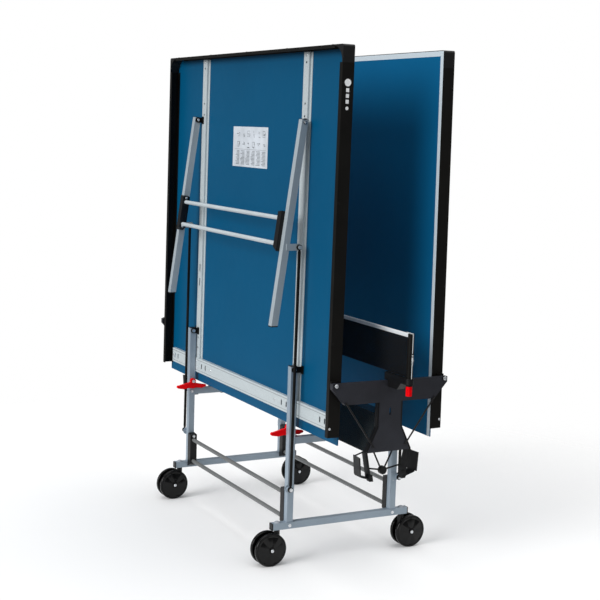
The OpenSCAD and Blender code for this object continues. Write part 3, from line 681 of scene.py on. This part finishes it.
def make_instruction_sheet(looks):
    """A paper sheet stuck under the left half: frames with plain line drawings, and rows of short bars."""
    y0, y1, u0, u1 = -0.141, 0.170, 0.931, 1.087
    rng = random.Random(11)

    def at(h, v, lift):
        """h from 0 at the near edge to 1, v from 0 at the bottom to 1."""
        return stored("left", u0 + (u1 - u0) * v, y0 + (y1 - y0) * h, 0.005 + lift)

    sheet = Shape()
    columns, rows = 24, 12
    for i in range(columns + 1):
        for j in range(rows + 1):
            h, v = i / columns, j / rows
            curl = 0.0009 * max(0, abs(h - 0.5) * 2 - 0.86) / 0.14 * (0.4 + 0.6 * v)
            curl += 0.00012 * math.sin(7 * h + 5 * v)
            sheet.points.append(at(h, v, 0.00035 + max(0, curl)))
    top = len(sheet.points)
    for i in range(columns + 1):
        for j in range(rows + 1):
            sheet.points.append(at(i / columns, j / rows, 0.00003))
    for i in range(columns):
        for j in range(rows):
            a = i * (rows + 1) + j
            b = a + rows + 1
            sheet.faces.append((a, a + 1, b + 1, b))
            sheet.faces.append((top + a, top + b, top + b + 1, top + a + 1))
            sheet.slots += [0, 0]
    rim = [i * (rows + 1) for i in range(columns)] + [columns * (rows + 1) + j for j in range(rows)]
    rim += [i * (rows + 1) + rows for i in range(columns, 0, -1)] + list(range(rows, 0, -1))
    for k, a in enumerate(rim):
        b = rim[(k + 1) % len(rim)]
        sheet.faces.append((a, b, top + b, top + a))
        sheet.slots.append(0)

    def ink(h0, v0, h1, v1):
        corners = [at(h, v, 0.00062) for h, v in ((h0, v0), (h1, v0), (h1, v1), (h0, v1))]
        base = len(sheet.points)
        sheet.points += corners
        sheet.faces.append((base, base + 3, base + 2, base + 1))
        sheet.slots.append(1)

    def frame_at(h0, v0, h1, v1, line=0.004):
        ink(h0, v0, h1, v0 + line * 2)
        ink(h0, v1 - line * 2, h1, v1)
        ink(h0, v0, h0 + line, v1)
        ink(h1 - line, v0, h1, v1)

    for row, (v0, v1) in enumerate(((0.72, 0.93), (0.47, 0.66))):
        for cell in range(6):
            h0 = 0.06 + cell * 0.147
            for _ in range(4):
                a, b = h0 + rng.uniform(0.005, 0.05), v0 + rng.uniform(0.0, 0.12)
                if rng.random() < 0.5:
                    ink(a, b, a + rng.uniform(0.02, 0.06), b + 0.012)
                else:
                    ink(a, b, a + 0.006, b + rng.uniform(0.03, 0.08))
            if (cell + row) % 3 == 0:
                frame_at(h0 + 0.02, v0 + 0.03, h0 + 0.085, v1 - 0.03)
    ink(0.05, 0.435, 0.95, 0.440)
    for column in range(6):
        for line in range(11):
            h0 = 0.06 + column * 0.15
            v0 = 0.06 + line * 0.033
            ink(h0, v0, h0 + rng.uniform(0.07, 0.12), v0 + 0.011)
    sheet.piece("instruction_sheet", "half_left", "net_tape", [looks["paper"], looks["ink"]], 60)


def make_apron_marks(looks):
    """A plain round mark and three bars on one apron of each half."""
    print_lift, disc_points = 0.00025, 28
    for side, sy in SIDES.items():
        marks = Shape()

        def mark(outline, side=side, sy=sy, marks=marks):
            """A flat mark from points along the board and below its playing face."""
            ring = [stored(side, u, sy * (HALF_WIDTH + print_lift), depth) for u, depth in outline]
            outwards = (ring[1] - ring[0]).cross(ring[2] - ring[1]).y * sy > 0
            marks.add(ring, [range(len(ring)) if outwards else range(len(ring))[::-1]])

        def disc(u, depth, radius, mark=mark):
            turns = [2 * math.pi * k / disc_points for k in range(disc_points)]
            mark([(u + radius * math.cos(a), depth + radius * math.sin(a)) for a in turns])

        disc(1.2435, 0.0225, 0.0125)
        for k in range(3):
            u0, u1 = 1.174 + k * 0.019, 1.187 + k * 0.019
            mark([(u0, 0.0165), (u1, 0.0165), (u1, 0.0285), (u0, 0.0285)])
        disc(1.1585, 0.0225, 0.006)
        marks.piece(f"apron_marks_{side}", f"half_{side}", "net_tape", [looks["chalk"]])


def make_welds(looks):
    """Ripple beads where the posts meet the foot beams and the cross beams."""
    rng = random.Random(3)

    def bead(shape, corners, radius, closed=True):
        path, radii = [], []
        count = len(corners)
        for k in range(count if closed else count - 1):
            a, b = Vector(corners[k]), Vector(corners[(k + 1) % count])
            steps = max(2, int((b - a).length / (1.6 * MM)))
            for i in range(steps):
                path.append(a.lerp(b, i / steps))
                radii.append(radius * (1 + 0.22 * math.sin(i * 2.1) + rng.uniform(-0.1, 0.1)))
        shape.add(*tube_along(path, radii, 8, closed=closed))

    welds = Shape()
    half = 12.5 * MM + 0.4 * MM      # half a tube's width, and the bead's stand-off
    for end, sy in ENDS.items():
        for side, sx in SIDES.items():
            x, y, z = sx * HINGE_X, sy * POST_Y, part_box(f"post_{end}_{side}")[0].z
            ring = [(x - half, y - half), (x + half, y - half), (x + half, y + half), (x - half, y + half)]
            bead(welds, [(a, b, z + 0.6 * MM) for a, b in ring], 1.5 * MM)
        low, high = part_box(f"cross_beam_{end}")
        y, z = (low.y + high.y) / 2, (low.z + high.z) / 2
        for sx in SIDES.values():
            x = sx * (high.x - 0.6 * MM)
            # none on the beam's inner face, where the locking lever turns
            inner, outer = sy * (3 * MM - half), sy * half
            run = [(inner, -half), (outer, -half), (outer, half), (inner, half)]
            bead(welds, [(x, y + a, z + b) for a, b in run], 1.4 * MM, closed=False)
    welds.piece("weld_beads", "carriage", "silver_paint", [looks["weld"]], 60)


def make_cord_toggles(looks):
    """A small barrel, a loop and a loose tail where each tension cord is made fast."""
    barrel = [(0, 0), (2.9, 0), (3.3, 0.8), (3.3, 3.4), (2.7, 4.2), (2.7, 9.0), (3.3, 9.8), (3.3, 12.4),
              (2.9, 13.2), (0, 13.2)]
    cord_radius = 0.9 * MM
    for end, sy in ENDS.items():
        place = Vector((0, sy * 0.9169, 0.822))
        toggle = Shape()
        toggle.add(*lathe([(r * MM, h * MM) for r, h in barrel], 28),
                   Matrix.Translation(place + Vector((0, sy * 1.0 * MM, 12 * MM))))
        turns = [2 * math.pi * k / 20 for k in range(21)]
        loop = [place + Vector((0.004 * math.sin(a), sy * (0.0012 + 0.0018 * (1 - math.cos(a))),
                                0.006 * math.sin(a / 2) - 0.002 * a)) for a in turns]
        toggle.add(*tube_along(loop, cord_radius, 8), slot=1)
        tail = [place + Vector((0.0015 * math.sin(k * 0.5), sy * (0.001 + 0.0002 * k), -0.0022 * k))
                for k in range(9)]
        toggle.add(*tube_along(tail, cord_radius, 8), slot=1)
        toggle.piece(f"cord_toggle_{end}", "carriage", "black_plastic", [looks["plastic"], looks["cord"]])


# ---------- everything together ----------

# The look of each CAD node, by the longest start of its name that is listed
LOOK_OF = {
    "foot_beam": "silver", "post": "silver", "cross_beam": "silver", "legs": "leg_silver",
    "tie_rods": "tie", "leg_ties": "leg_tie", "underframe": "zinc", "carriage_bolts": "bolts",
    "apron": "apron", "links": "black_metal", "net_post": "black_metal", "pivot_brackets": "black_metal",
    "rod_brackets": "plastic", "tube_caps": "plastic", "bat_pockets": "plastic", "holder_braces": "plastic",
    "net_clamps": "plastic", "leg_fittings": "plastic", "caster": "plastic", "corner_covers": "cover",
    "stem_caps": "grey", "holder_plate": "holder", "ball_box": "box", "net_knob": "red",
    "lock_lever": "red", "net_cords": "cord", "wheels": "wheel", "net_tape": "tape", "net": "net",
}


def main():
    looks = {
        "silver": silver_paint("silver_powder_coat", rgb(138, 152, 164)),
        "leg_silver": silver_paint("leg_powder_coat", rgb(160, 170, 176)),
        "tie": silver_paint("tie_tube_grey", rgb(102, 104, 104)),
        "leg_tie": silver_paint("leg_tie_light", rgb(188, 196, 200)),
        "zinc": galvanised("galvanised_rail"),
        "bolts": zinc_bolts("zinc_fastener"),
        "apron": black_paint("apron_powder_coat"),
        "black_metal": black_paint("black_rod_coat", 0.8),
        "plastic": moulded_plastic("moulded_black", rgb(14, 14, 15), 0.4),
        "cover": moulded_plastic("corner_cover_black", rgb(20, 19, 19), 0.4),
        "grey": moulded_plastic("moulded_grey", rgb(150, 156, 164), 0.4, 0.2),
        "holder": moulded_plastic("holder_grey", rgb(41, 42, 48), 0.4, 0.25, 0.05),
        "box": moulded_plastic("ball_box_gloss", rgb(36, 39, 39), 0.2, 0.08, 0.2, 0.4),
        "red": moulded_plastic("moulded_red", rgb(222, 0, 10), 0.36, 0.15, 0.0, 0.1),
        "wheel": moulded_plastic("wheel_gloss", rgb(3, 3, 3), 0.12, 0.04, 0.0, 0.26),
        "net": woven_black("net_cord"),
        "tape": woven_tape("net_tape_weave"),
        "thread": woven_tape("tape_thread"),
        "cord": braided_cord("braided_cord"),
        "paper": moulded_plastic("label_paper", rgb(196, 202, 209), 0.6, 0.1),
        "ink": moulded_plastic("label_ink", rgb(80, 84, 90), 0.6, 0.1),
        "chalk": moulded_plastic("apron_print", rgb(236, 238, 238), 0.4, 0.1),
        "weld": silver_paint("weld_bead_paint", rgb(120, 134, 148)),
    }
    for name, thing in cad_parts.items():
        if name.startswith("board_"):
            side = name.split("_")[1]
            board_coating(f"blue_coating_{side}", SIDES[side], name).apply(thing)
            continue
        start = max((s for s in LOOK_OF if name.startswith(s)), key=len)
        looks[LOOK_OF[start]].apply(thing)
    make_wheels(looks)
    make_net(looks)
    make_screws(looks)
    make_leg_screws(looks)
    make_instruction_sheet(looks)
    make_apron_marks(looks)
    make_welds(looks)
    make_cord_toggles(looks)


make_camera()
make_studio()
main()
